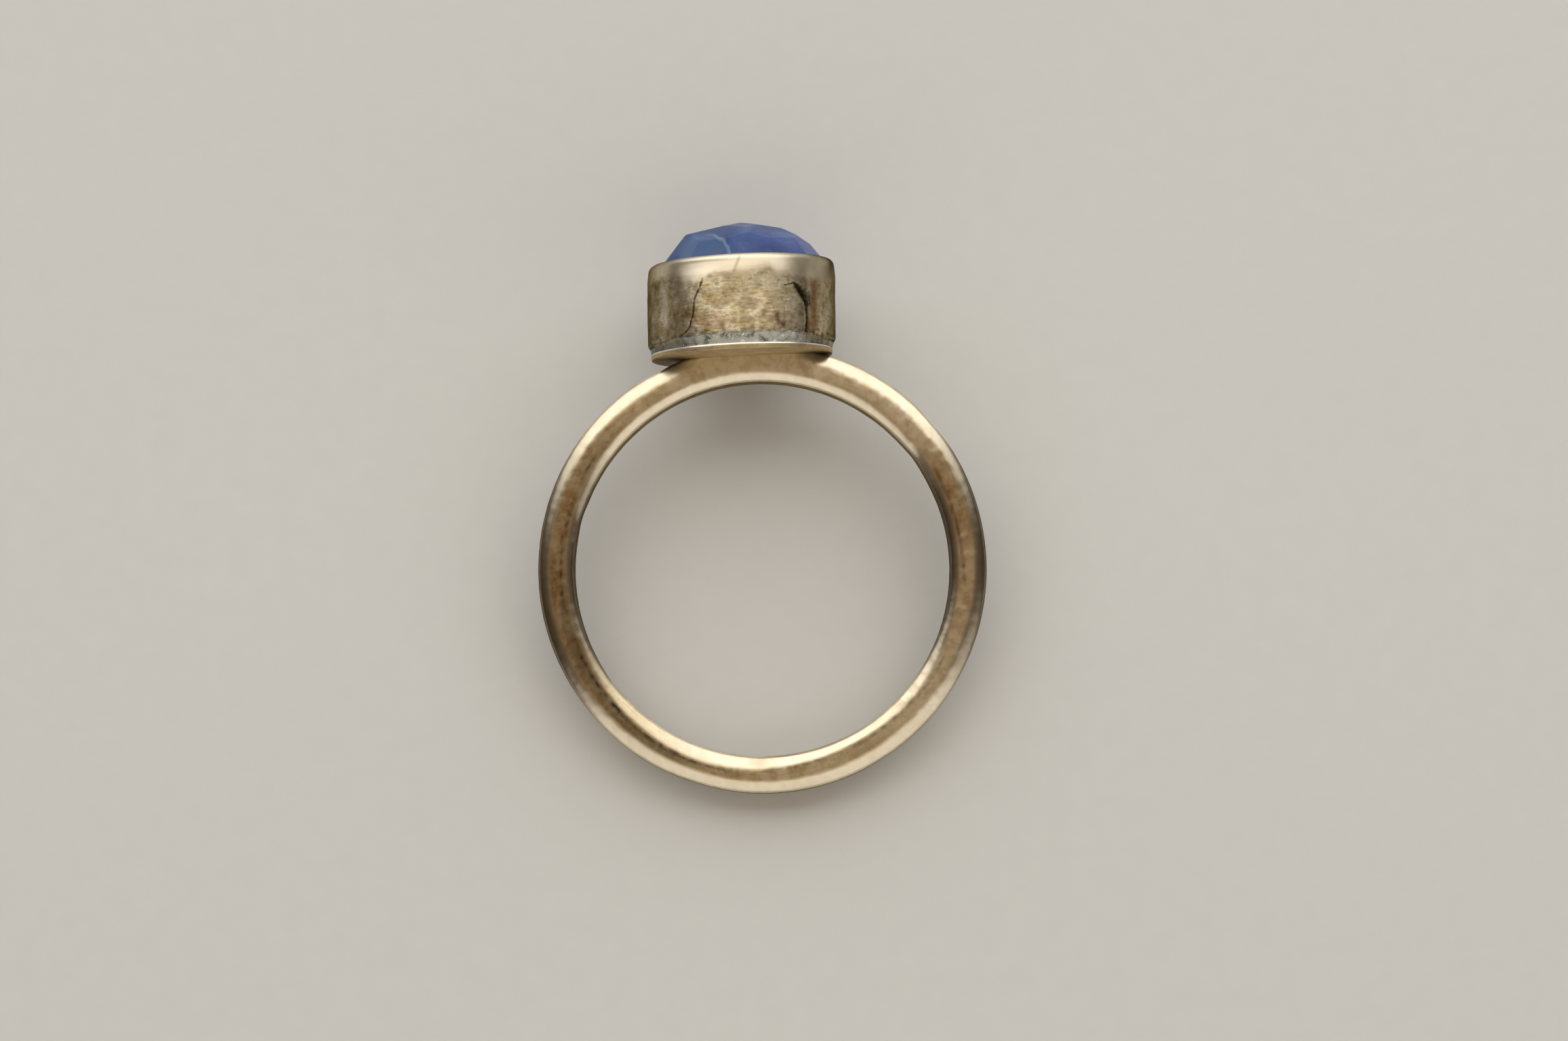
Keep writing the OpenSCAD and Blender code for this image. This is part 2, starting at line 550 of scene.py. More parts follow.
band = {
    "thickness": 1.7,
    "width": 1.9,
    "steps": 840,  # round the finger
    "longestEdge": 0.09,
    "corner": 0.12,  # radius of the four corners, past the slopes that are worn down to them
    "cornerCuts": 7,
    "sunkInPlate": 0.05,  # how far the flat that is filed on top reaches into the back plate
    # The slopes as (where they start, from 0 at the middle to 1 at the wall, how far they fall)
    "outerSlope": (0.25, 0.26),
    "innerSlope": (0.4, 0.21),
    "slopeBend": 1.6,  # 1 is a straight slope, 2 a round one
    "slopeShows": (0.03, 0.32),  # how far down a slope its wear begins to show and shows fully
    "extraFall": 0.8,  # how much further a slope falls where it starts further in
    "crown": 0.03,  # how far the side faces fall away towards the corners
    "flatDepth": 0.035,  # of the planishing flats
    "flatLength": 5.0,
    "flatStretch": 0.6,  # below 1 they are longer across the band than round it
    "flatReach": (0.15, 0.6),  # where single flats begin and are deepest, from 0 to 1 as above
    "dentDepth": 0.04,
    "dentSize": 0.4,
    "dentsWornOff": 0.65,  # share of the dents that is gone from the slopes
    "wallDents": 0.4,  # shares of the dents, the grain and the polish that the walls have
    "grainDepth": 0.006,
    "grainSize": 0.12,
    "wallGrain": 0.7,
    "wallPolish": 0.2,
    "fleckSizes": (0.35, 0.16),  # of the rubbed flecks, large and small
    "reddishSheenSize": 0.8,  # of the patches of painted reddish sheen at the left and right, mottled like copper
    "sootSize": 0.25,
    # Where a look begins and is all there, from 0 at the top to 1 at the left and right
    "struckSides": (0.6, 0.9),
    # painted reddish sheen, mottled like copper, at the left and right
    "reddishSheenSides": (0.75, 0.95),
    # painted shade on the walls at the left and right
    "shadedSides": (0.72, 0.96),
    # Where a slope starts further in, as (degrees round from the right, how far, half length)
    "outerWear": [(60, 0.14, 18), (94, -0.5, 15), (122, 0.16, 14), (226, 0.13, 22), (322, 0.16, 32)],
    "innerWear": [(250, 0.42, 28), (98, 0.05, 50), (318, 0.15, 14)],
    # Where the slopes are scuffed dull
    "innerScuffs": [(222, 0.6, 22), (267, 0.3, 4), (322, 0.5, 16)],
    "outerScuff": 0.1,
    # Single hammer flats as (degrees round from the right, depth, half length in degrees)
    "outerFlats": [(116, 0.06, 4), (38, 0.04, 5), (250, 0.03, 6)],
    "innerFlats": [(162, 0.035, 4), (34, 0.035, 4), (266, 0.03, 3), (215, 0.02, 5)],
    # How far the side faces are rubbed and brightened by painted sheen, as (degrees round from the right,
    # share), darkened by painted shade below zero
    "faceSheenAndShade": [
        (-90, 0.1), (-55, 0.4), (-38, 1.3), (-18, 0.9), (0, 0.7), (10, 0.1), (24, 0), (36, 0.9),
        (48, 1.1), (66, 0.7), (80, 1.3), (100, 1.3), (120, 0.3), (138, -0.2), (160, -0.1),
        (180, -0.3), (200, -0.5), (225, -0.4), (242, -0.45), (254, 0), (270, 0.1),
    ],
    # Lines on the side faces as (degrees round from the right, distance from the centre)
    "copperLines": [
        [(-14, 9.5), (-11, 9.4), (-5, 9.1), (7, 8.99), (24, 8.96), (31, 9.0)],
        [
            (126, 9.42), (138, 9.38), (150, 9.3), (166, 9.22), (178, 9.25), (190, 9.4), (200, 9.56),
            (222, 9.5),
        ],
    ],
    "darkLines": [
        [(-14, 9.5), (-11, 9.4), (-5, 9.1), (7, 8.99), (24, 8.96), (31, 9.0)],
        [(138, 9.12), (160, 9.05), (178, 9.1), (192, 9.15)],
        [(198, 9.05), (225, 9.12), (240, 9.23), (256, 9.24), (268, 9.12), (276, 9.07)],
        [(-96, 9.11), (-84, 9.07), (-68, 9.0), (-42, 9.03), (-24, 9.1)],
    ],
    "lineWidth": 0.08,
    "lineFade": 6,  # degrees over which a line fades out at its ends
    "lineWaver": 0.06,  # how far the lines stray
    "waverLength": 0.5,
}
bandMiddle = insideRadius + band["thickness"] / 2


def hillsAt(around, hills):  # how high the hills are, each (degrees round, height, half length)
    total = 0
    for place, height, halfLength in hills:
        total += height * bell(((around - place + 180) % 360 - 180) / halfLength)
    return total


def lineStrength(lines, around, radius):  # 1 on one of the lines, fading to 0 beside it
    strength = 0
    for line in lines:
        first, last = line[0][0], line[-1][0]
        ends = smoothStep(first, first + band["lineFade"], around)
        ends *= smoothStep(last, last - band["lineFade"], around)
        away = (radius - crossing(line, around, 0)) / band["lineWidth"]
        strength = max(strength, ends * bell(away))
    return strength


def bandSpot(x, y, z):  # where a place on the band is, and how far its slope is worn down
    halfWidth = band["width"] / 2
    halfThickness = band["thickness"] / 2
    spot = SimpleNamespace(place=(x, y, z), radius=hypot(x, y))
    out = spot.radius - bandMiddle
    spot.wall = "outer" if out > 0 else "inner"
    spot.edge = min(1, abs(out) / halfThickness)  # 0 at the middle of a side face, 1 at the wall
    spot.around = (degrees(atan2(y, x)) + 90) % 360 - 90  # from -90 at the bottom, round to 270
    spot.sideways = abs(cos(atan2(y, x)))  # 1 at the band's left and right
    spot.onSide = smoothStep(halfWidth - band["corner"], halfWidth, abs(z))
    spot.onWall = smoothStep(halfThickness - band["corner"], halfThickness, abs(out))
    start, fall = band[spot.wall + "Slope"]
    wear = hillsAt(spot.around, band[spot.wall + "Wear"])
    down = max(0, spot.edge - start + wear) / (1 - start + wear)
    spot.fallen = fall * (1 + band["extraFall"] * max(0, wear)) * down ** band["slopeBend"]
    spot.worn = smoothStep(*band["slopeShows"], down)
    return spot


def bandCut(spot):  # how deep the hammer and the abrasive have gone
    x, y, z = spot.place
    flats = hillsAt(spot.around, band[spot.wall + "Flats"]) * smoothStep(*band["flatReach"], spot.edge)
    flats += band["flatDepth"] * lumps(x, y, z * band["flatStretch"], band["flatLength"])
    crown = band["crown"] * spot.edge ** 2 * spot.onSide
    struck = 0.6 + 0.4 * smoothStep(*band["struckSides"], spot.sideways)
    struck *= max(spot.onSide * (1 - band["dentsWornOff"] * spot.worn), spot.onWall * band["wallDents"])
    dents = band["dentDepth"] * struck * lumps(x, y, z, band["dentSize"])
    brushed = max(spot.onSide, spot.onWall * band["wallGrain"])
    grain = band["grainDepth"] * brushed * lumps(x, y, z, band["grainSize"])
    return flats + crown + dents + grain


def bandFinish(spot):  # how polished or brightened by painted sheen, how tarnished or darkened by painted shade, and how coppery or reddened by painted sheen a place is, each from 0 to 1
    large, small = band["fleckSizes"]
    fleck = smoothStep(-0.5, 0.5, wobble(*spot.place, large) + 0.7 * wobble(*spot.place, small))
    # painted sheen and shade on the side faces, varying round the band
    sheenAndShade = crossing(band["faceSheenAndShade"], spot.around, 0)
    scuffed = band["outerScuff"] if spot.wall == "outer" else hillsAt(spot.around, band["innerScuffs"])
    rubbedAndLitFace = max(sheenAndShade * (0.45 + 0.55 * fleck), 0.35 * fleck)
    rubbedSlope = spot.worn * (0.85 + 0.15 * fleck - scuffed)
    rubbed = min(1, max(0, rubbedAndLitFace, rubbedSlope))
    polishAndSheen = 1 - max(spot.onSide * (1 - rubbed), spot.onWall * (1 - band["wallPolish"]))

    waver = band["lineWaver"] * wobble(*spot.place, band["waverLength"])
    copperLine = lineStrength(band["copperLines"], spot.around, spot.radius + waver)
    # painted reddish sheen at the left and right, mottled like copper
    reddishSheen = smoothStep(*band["reddishSheenSides"], spot.sideways)
    reddishSheen *= 0.3 + 0.8 * wobble(*spot.place, band["reddishSheenSize"])
    copperAndSheen = min(1, max(0, reddishSheen, copperLine) * spot.onSide)

    darkLine = lineStrength(band["darkLines"], spot.around, spot.radius - waver)
    soot = 0.6 * darkLine * (0.6 + 0.9 * wobble(*spot.place, band["sootSize"]))
    # painted shade on the side faces where the list is below zero
    shadedFace = max(0, -sheenAndShade) * (1 - spot.worn) * (1 - copperLine)
    # painted shade on the walls at the left and right
    shadedWall = 0.55 * max(spot.onWall, spot.worn) * smoothStep(*band["shadedSides"], spot.sideways)
    tarnishAndShade = max(0, (soot + shadedFace) * spot.onSide, shadedWall)
    return polishAndSheen, tarnishAndShade, copperAndSheen


def makeBand():
    clearSelection()
    bpy.ops.mesh.primitive_plane_add(size=1, rotation=(pi / 2, 0, 0))
    piece = newPiece("band")
    piece.location = (bandMiddle, 0, 0)
    piece.scale = (band["thickness"], band["width"], 1)
    startEditing()
    selectAll()
    bpy.ops.mesh.bevel(offset=band["corner"], segments=band["cornerCuts"], affect="VERTICES")
    selectAll()
    bpy.ops.mesh.delete(type="ONLY_FACE")
    splitLongEdges(piece, band["longestEdge"])
    spinProfile(piece, band["steps"])

    finish = []
    normals = [vertex.normal.copy() for vertex in piece.data.vertices]
    for vertex, normal in zip(piece.data.vertices, normals):
        spot = bandSpot(*vertex.co)
        vertex.co.z *= 1 - spot.fallen / (band["width"] / 2)
        vertex.co -= normal * bandCut(spot)
        finish.append(bandFinish(spot))
    keepOnPoints(piece, ("polishAndSheen", "tarnishAndShade", "copperAndSheen"), finish)

    # The flat that is filed on top for the back plate
    bpy.ops.object.mode_set(mode="EDIT")
    selectAll()
    bpy.ops.mesh.bisect(
        plane_co=(0, setting["seatLevel"] + band["sunkInPlate"], 0), plane_no=(0, 1, 0),
        use_fill=True, clear_outer=True, threshold=0.0001,
    )
    bpy.ops.object.mode_set(mode="OBJECT")
    look = dict(goldLook, middleRadius=bandMiddle)
    material = brushedGold("brushed 14 ct gold band", look, ringCentre, ringTilt)
    finishPiece(piece, material, "gold_ring")
    print("band done,", len(piece.data.polygons), "faces")


# Back plate

backPlate = {
    "points": 360,
    "topEdge": 0.16,  # radius of its rubbed edges
    "bottomEdge": 0.06,
    "edgeCuts": 6,
    "rings": 7,
    "ringWidth": 0.5,
    "unevenness": 0.02,
    "bumpLength": 1.1,
    "sootSize": 0.5,
    "shadedBelow": 0.04,  # only its underside is darkened: painted shade beside the band, with soot
}


def plateFinish(x, y, z):  # how polished, and how tarnished or darkened by painted shade, a place is, each from 0 to 1
    fromTop = setting["plateThickness"] - z
    polishAndSheen = 1 - smoothStep(backPlate["topEdge"] * 0.7, backPlate["topEdge"], fromTop)
    # painted shade on the underside at either side of the band
    shadeBesideBand = 0.85 * smoothStep(2.2, 3.2, abs(x)) * smoothStep(-2.6, -0.8, y)
    soot = 0.25 * smoothStep(0.1, 0.5, wobble(x, y, z, backPlate["sootSize"]))
    tarnishAndShade = max(shadeBesideBand, soot) * smoothStep(backPlate["shadedBelow"], 0, z)
    return polishAndSheen, tarnishAndShade


def makeBackPlate():
    middle = setting["plateThickness"] / 2
    clearSelection()
    bpy.ops.mesh.primitive_cylinder_add(
        vertices=backPlate["points"], radius=setting["plateRadius"],
        depth=setting["plateThickness"], location=(0, 0, middle),
    )
    piece = newPiece("backPlate")
    startEditing()
    for side, radius in ((1, backPlate["topEdge"]), (-1, backPlate["bottomEdge"])):
        pick(piece, "EDGE", lambda edge: all((v.co.z - middle) * side > middle - 0.01 for v in edge.verts))
        bpy.ops.mesh.bevel(offset=radius, segments=backPlate["edgeCuts"], affect="EDGES")
    pick(piece, "FACE", lambda face: face.normal.z < -0.999)
    for _ in range(backPlate["rings"]):
        bpy.ops.mesh.inset(thickness=backPlate["ringWidth"])
    bpy.ops.object.mode_set(mode="OBJECT")

    finish = []
    for vertex in piece.data.vertices:
        x, y, z = vertex.co
        if hypot(x, y) > 1:
            pullIn(vertex, backPlate["unevenness"] * lumps(x, y, 0, backPlate["bumpLength"]))
        finish.append(plateFinish(x, y, z))
    keepOnPoints(piece, ("polishAndSheen", "tarnishAndShade"), finish)
    piece.data.transform(settingToBench)
    look = dict(
        goldLook, middleRadius=setting["plateRadius"], rubbed="efebe2", bright="c2b292", warm="ae9a76",
        edge="fff4e0", brushedRoughness=0.5, anisotropy=0.2, grimeShare=0.3,
    )
    material = brushedGold("filed 14 ct gold sheet", look, onSettingAxis(0), settingTilt)
    finishPiece(piece, material, "gold_ring")
    print("back plate done")


# Cup

cup = {
    "steps": 720,
    "rowHeight": 0.04,
    "footHeight": 0.35,
    "burnishHeight": 0.85,
    "burnishInset": 0.1,
    "burnishBend": 1.3,
    "shoulder": 0.25,  # height of the rounding at the rim
    "shoulderInset": 0.25,
    "shoulderCuts": 8,
    "lipRadius": 3.82,
    # The lip's rolled edge as (outside the lip's radius, below the rim)
    "lipRoll": [(0.08, 0.003), (0.04, 0.013), (0.01, 0.04), (0, 0.09)],
    "lipDepth": 0.3,  # from the rim to where the lip meets the bore
    "lipGap": 0.005,  # left between the lip and the stone's facets
    "boreRadius": 4.01,
    "bearingRadius": 3.45,
    "bearingDepth": 1.35,
    "insidePolish": 0.6,
    "waveDepth": 0.02,
    "waveLength": 1.3,
    "fileDepth": 0.007,
    "fileHeight": 0.09,  # of one file mark
    "filesAround": 17,  # how many marks there are to a turn of one radian
    "coarseDepth": 0.01,  # of the unevenness that the file left
    "coarseSize": 0.5,
    "coarseStretch": 0.7,  # below 1 it is longer than it is high
    "panelFlat": 0.08,  # how far the panel between the two creases is filed in at its middle
    "panelRise": (-0.5, 3),  # heights between which it grows deeper
    "panelEnd": (-0.9, 0.4),  # it runs out from this far below the rubbed border to above it
    "panelDrop": 0.04,  # how far the wall falls back behind each crease
    "dropLength": 0.35,  # millimetres round the wall in which it falls back
    "dropReturn": 1.5,  # and in which it comes out again
    "creaseWidth": 0.042,
    "creaseDepth": 0.018,
    "creaseWaver": 0.035,
    "waverSize": 0.12,
    "rightWider": (2, 3, 1.5),  # from here to here round from the front, by this much
    "bend": (2.0, 0.1, 0.7),  # of the right crease: its height, its reach, and where it has ended
    "bendWider": 5,  # how much wider the crease's far side is there
    "foldNarrower": 1.2,
    "shortShare": 0.4,  # of a crease's depth, that the short mark has
    # Marks on the wall as (millimetres round from the front, height above the plate)
    "leftCrease": [
        (-3.33, 0.14), (-2.79, 0.48), (-2.49, 0.72), (-2.27, 1.34), (-2.19, 2.03), (-1.94, 2.47),
        (-1.8, 2.86),
    ],
    "rightCrease": [(3.17, 0.26), (3.28, 0.6), (3.29, 1.18), (3.19, 1.73), (2.84, 2.17), (2.58, 2.56)],
    "foldMark": [(2.1, 2.46), (2.58, 2.56)],
    "shortMark": [(2.11, 1.63), (2.1, 0.78)],
    "rubbedBorder": [
        (-4.22, 3.12), (-3.47, 3.18), (-2.85, 2.77), (-2.29, 2.68), (-1.8, 2.88), (-1.28, 3.02),
        (-0.5, 3.03), (0.26, 2.93), (0.87, 3.16), (1.34, 3.21), (1.82, 2.94), (2.51, 2.83), (3.73, 2.77),
    ],
    "borderBlend": (-0.15, 0.22),  # from this far below the border to this far above it
    "borderWaves": (0.08, 0.5),  # how high and how long
    "borderTeeth": (0.06, 0.18),
    # Soft marks as (half width, places as above)
    # a painted highlight: a pale line where a ridge would catch the light, polished smoother too
    "paintedRidgeHighlight": (0.12, [(-4.07, 2.24), (-3.88, 0.99)]),
    "copperStreak": (0.3, [(3.84, 3.14), (3.79, 0.69)]),
    "rimStreak": (0.07, [(-0.04, 3.76), (-0.29, 3.11)]),
    # Round patches as (millimetres round from the front, height, half width, half height)
    "stain": (1.95, 0.94, 0.9, 1),
    "pinkPatch": (-1.4, 0.95, 1.2, 0.6),
    # Where the rim is burnished flatter, as (millimetres round from the front, half width, depth)
    "rimFacet": (-1.8, 1.5, 0.12),
    "facetHeights": (2.3, 3.5, 3.6),  # where it begins, is deepest, and starts to run out
    # Where a look begins and is all there, in millimetres round from the front
    # painted shade at the left and right
    "leftShade": (-2.6, -3.8),
    "rightShade": (0.9, 1.8),
    "mellowRight": (1.4, 3.2),
    "farSide": (4.8, 7.2),  # plainer, because most of the wear is in front
    "sootHeights": (0.8, 0.38),  # above the plate: where it ends, and where it is thickest
    "blotchSize": 0.45,
}


def outerRadius(height):  # of the cup's wall at a height above the plate
    if height < cup["footHeight"]:
        share = height / cup["footHeight"]
        return setting["plateRadius"] + (setting["cupRadius"] - setting["plateRadius"]) * share
    fall = setting["cupHeight"] - height
    inset = cup["burnishInset"] * max(0, 1 - fall / cup["burnishHeight"]) ** cup["burnishBend"]
    if fall < cup["shoulder"]:
        inset += cup["shoulderInset"] * (1 - sqrt(max(0, 1 - (1 - fall / cup["shoulder"]) ** 2)))
    return setting["cupRadius"] - inset


def cupProfile():
    top = setting["cupHeight"]
    straight = top - cup["shoulder"]
    rows = ceil(straight / cup["rowHeight"])
    heights = [straight * i / rows for i in range(rows)]
    for i in range(cup["shoulderCuts"] + 1):
        heights.append(straight + cup["shoulder"] * sin(pi / 2 * i / cup["shoulderCuts"]))
    outside = [(outerRadius(height), height) for height in heights]
    lip = [(cup["lipRadius"] + out, top - below) for out, below in cup["lipRoll"]]
    bearing = top - cup["bearingDepth"]
    inside = [
        (cup["boreRadius"], top - cup["lipDepth"]), (cup["boreRadius"], bearing),
        (cup["bearingRadius"], bearing), (cup["bearingRadius"], 0),
    ]
    return outside + lip + inside + outside[:1]


def lipReach(turn):  # radius of the lip where it follows the stone's flat facets
    ring = stone["girdle"]
    belowRim = cup["lipRoll"][-1][1]
    facetRadius = (ring["peak"] + belowRim) / tan(radians(ring["slope"]))
    fromFacet = min(abs((facing - degrees(turn) + 180) % 360 - 180) for facing in ring["directions"])
    return facetRadius / cos(radians(fromFacet)) + cup["lipGap"]


def wallWave(x, y, height):  # how far in the wall wavers
    return cup["waveDepth"] * (1.4 + wobble(x, y, height, cup["waveLength"]))


def markAt(spot, name):  # 1 on a soft mark, fading to 0 beside it
    halfWidth, line = cup[name]
    return bell(distanceToLine(spot.across, spot.height, line) / halfWidth)


def fromPatch(spot, name):  # 0 in the middle of a round patch, 1 at its edge
    across, height, halfWidth, halfHeight = cup[name]
    return hypot((spot.across - across) / halfWidth, (spot.height - height) / halfHeight)


def panelDepth(spot):  # filed flat between the two creases, and fallen back behind them
    low = crossing(cup["leftCrease"], spot.height)
    high = crossing(cup["rightCrease"], spot.height)
    halfSpan = (high - low) / 2
    reach = abs(spot.across - (low + high) / 2) / halfSpan  # 1 at either crease
    if reach < 1:
        depth = cup["panelFlat"] * (1 - reach ** 2)
    else:
        past = (reach - 1) * halfSpan
        depth = cup["panelDrop"] * (1 - exp(-past / cup["dropLength"])) * exp(-past / cup["dropReturn"])
    below, above = cup["panelEnd"]
    depth *= 1 - smoothStep(spot.border + below, spot.border + above, spot.height)
    return depth * smoothStep(*cup["panelRise"], spot.height)


def facetDepth(spot):  # of the flatter stretch that the burnisher left on the rim
    place, halfWidth, depth = cup["rimFacet"]
    begins, deepest, runsOut = cup["facetHeights"]
    depth *= smoothStep(begins, deepest, spot.height)
    depth *= 1 - 0.5 * smoothStep(runsOut, setting["cupHeight"], spot.height)
    return depth * bell((spot.across - place) / halfWidth)


def grooveAt(spot):  # 1 at the bottom of a crease, fading to 0 beside it
    across, height = spot.across, spot.height
    left = distanceToLine(across, height, cup["leftCrease"])
    right = distanceToLine(across, height, cup["rightCrease"])
    if across > crossing(cup["rightCrease"], height):
        bend, near, far = cup["bend"]
        right /= 1 + cup["bendWider"] * smoothStep(far, near, abs(height - bend))
    fold = distanceToLine(across, height, cup["foldMark"]) * cup["foldNarrower"]
    away = min(left, right, fold) + cup["creaseWaver"] * wobble(*spot.place, cup["waverSize"])
    start, end, wider = cup["rightWider"]
    width = cup["creaseWidth"] * (1 + wider * smoothStep(start, end, across))
    short = distanceToLine(across, height, cup["shortMark"]) / cup["creaseWidth"]
    return max(bell(max(0, away) / width), cup["shortShare"] * bell(short))


def cupSpot(x, y, height):  # where a place on the wall is, and how far it is rubbed
    spot = SimpleNamespace(place=(x, y, height), height=height, turn=atan2(x, -y))
    spot.across = spot.turn * setting["cupRadius"]  # round from the front to the right
    spot.border = crossing(cup["rubbedBorder"], spot.across, 0)
    high, size = cup["borderWaves"]
    spot.border += high * wobble(spot.across, 0, 3, size)
    high, size = cup["borderTeeth"]
    spot.border += high * wobble(spot.across, height, 3, size)
    below, above = cup["borderBlend"]
    spot.rubbed = smoothStep(spot.border + below, spot.border + above, height)
    spot.filed = 1 - spot.rubbed
    spot.groove = grooveAt(spot) * spot.filed
    return spot


def cupCut(spot):  # how deep the file and the burnisher have gone
    x, y, height = spot.place
    around = cup["filesAround"]
    marks = wobble(sin(spot.turn) * around, cos(spot.turn) * around, height / cup["fileHeight"], 1)
    coarse = wobble(x, y, height / cup["coarseStretch"], cup["coarseSize"])
    filed = cup["fileDepth"] * (1 + marks) + cup["coarseDepth"] * (1 + coarse)
    shape = panelDepth(spot) + facetDepth(spot) + wallWave(x, y, height)
    return shape + cup["creaseDepth"] * spot.groove + filed * spot.filed


def paintedSideShade(spot):  # painted shade at the left and right of the wall, and on the rim towards the right
    across = spot.across
    sideShade = smoothStep(*cup["rightShade"], across) * (0.38 - 0.04 * smoothStep(3.0, 4.5, across))
    sideShade += 0.42 * smoothStep(*cup["leftShade"], across) * (1 - 0.5 * spot.rubbed)
    rimShade = 0.1 * smoothStep(0.8, 1.8, across) + 0.4 * smoothStep(3, 4.2, across)
    sideShade += (rimShade - sideShade) * spot.rubbed * smoothStep(-1, 1, across)
    return sideShade * (1 + 0.5 * wobble(*spot.place, 0.9))


def cupFinish(spot):  # how polished or brightened by a painted highlight, how tarnished or darkened by painted shade, and how coppery a place is, each from 0 to 1
    across, height = spot.across, spot.height
    farSide = smoothStep(*cup["farSide"], abs(across))
    mellow = max(smoothStep(*cup["mellowRight"], across), smoothStep(*cup["leftShade"], across))
    # painted highlight along the ridge
    ridgeHighlight = markAt(spot, "paintedRidgeHighlight")
    polishAndSheen = max(spot.rubbed * (1 - 0.35 * mellow), ridgeHighlight * 0.6, farSide * 0.6)

    streak = markAt(spot, "copperStreak")
    stain = smoothStep(0.8, 0.2, fromPatch(spot, "stain")) * 0.7 * (0.6 + wobble(*spot.place, 0.3))
    pink = 0.5 * smoothStep(1, 0.3, fromPatch(spot, "pinkPatch")) * spot.filed
    copperAndSheen = max(0, streak * 0.9, stain, pink)

    blotch = 0.28 * spot.filed * smoothStep(0.05, 0.45, wobble(*spot.place, cup["blotchSize"]))
    blotch *= (1 - 0.7 * farSide) * (1 - 0.8 * streak)
    soot = 0.75 * smoothStep(*cup["sootHeights"], height + 0.25 * wobble(across, 0, 7, 0.35))
    soot *= 0.55 + 0.9 * wobble(across, height, 5, 0.16)
    rimStreak = 0.35 * markAt(spot, "rimStreak")
    tarnishAndShade = max(0, spot.groove, rimStreak, stain, paintedSideShade(spot), blotch, soot)
    return polishAndSheen, tarnishAndShade, copperAndSheen


def makeCup():
    piece = drawProfile("cup", cupProfile())
    spinProfile(piece, cup["steps"])
    finish = []
    for vertex in piece.data.vertices:
        x, y, height = vertex.co
        radius = hypot(x, y)
        onWall = abs(radius - outerRadius(height)) < 0.004
        if onWall and height > 0.01:  # all but the row that stands on the plate
            spot = cupSpot(x, y, height)
            pullIn(vertex, cupCut(spot))
            finish.append(cupFinish(spot))
        else:
            finish.append((0 if onWall else cup["insidePolish"], 0, 0))
        if radius < cup["lipRadius"] + 0.1 and height > setting["cupHeight"] - 0.2:  # the lip
            pullIn(vertex, cup["lipRadius"] - lipReach(atan2(y, x)))
    keepOnPoints(piece, ("polishAndSheen", "tarnishAndShade", "copperAndSheen"), finish)
    standOnSetting(piece, cupFoot)
    look = dict(
        goldLook, middleRadius=setting["cupRadius"], bright="f4eacf", warm="b9a375", rubbed="f4ead4",
        tarnishAndShade="302c1c", brushSpacing=0.1, brushLength=0.34, brushedRoughness=0.4, polishedRoughness=0.38,
        brushDepth=0.014, patchSize=0.7,
    )
    material = brushedGold("filed and burnished 14 ct gold cup", look, onSettingAxis(0), settingTilt)
    finishPiece(piece, material, "gold_ring")
    print("cup done,", len(piece.data.polygons), "faces")


# Solder seam between the cup's foot and the back plate

seam = {
    "steps": 600,
    "longestEdge": 0.12,
    "heights": [0.02, 0.08, 0.15, 0.22, 0.3, 0.35, 0.39],
    "hidden": 0.2,  # how far it reaches in under the cup
    "sunk": 0.1,  # and down into the plate
    "bevel": 0.04,
    "proud": 0.002,  # how far it stands out from the cup's wall
    "lumpDepth": 0.014,
    "lumpSizes": (0.22, 0.09),
    "sideInset": 0.045,  # how much less it stands out at the left and right
    "raggedness": 0.045,  # of its upper edge
    "raggedSizes": (0.7, 0.16),
    "sideDrop": 0.09,  # how much lower its upper edge is at the left and right
}


def seamProfile():
    plateRadius = setting["plateRadius"]
    inner = plateRadius - seam["hidden"]
    bottom = -seam["sunk"]
    top = seam["heights"][-1] + seam["bevel"]
    outside = [(plateRadius + bottom + seam["bevel"], bottom), (plateRadius, -seam["bevel"])]
    outside += [(outerRadius(height) + seam["proud"], height) for height in seam["heights"]]
    outside.append((outerRadius(top) - seam["bevel"], top))
    return [(inner, bottom)] + outside + [(inner, top), (inner, bottom)]


def makeSolderSeam():
    piece = drawProfile("solderSeam", seamProfile())
    splitLongEdges(piece, seam["longestEdge"])
    spinProfile(piece, seam["steps"])

    finish = []
    for vertex in piece.data.vertices:
        x, y, height = vertex.co
        away = abs(atan2(x, -y)) * setting["cupRadius"]  # millimetres round from the front
        if hypot(x, y) > setting["plateRadius"] - 0.08:  # not hidden under the cup
            large, small = seam["lumpSizes"]
            lump = wobble(x, y, height, large) + 0.6 * wobble(x, y, height + 5, small)
            wall = wallWave(x, y, height) + seam["sideInset"] * smoothStep(2, 4.5, away)
            pullIn(vertex, seam["lumpDepth"] * (0.5 + 0.5 * lump) + wall * smoothStep(0, 0.25, height))
            large, small = seam["raggedSizes"]
            rise = seam["raggedness"] * (wobble(x, y, 9, large) + 0.7 * wobble(x, y, 4, small))
            rise -= seam["sideDrop"] * smoothStep(2.4, 4.6, away)
            vertex.co.z += rise * smoothStep(0.2, 0.4, height)
        # painted shade, darker towards the seam's left and right
        tarnishAndShade = smoothStep(2.0, 4.4, away) * (0.6 + 0.3 * wobble(x, y, height, 0.6))
        finish.append((max(0, tarnishAndShade),))
    keepOnPoints(piece, ("tarnishAndShade",), finish)
    standOnSetting(piece, cupFoot)
    finishPiece(piece, tarnishedSolder("tarnished silver solder", solderLook), "gold_ring")
    print("solder seam done")


# Stone

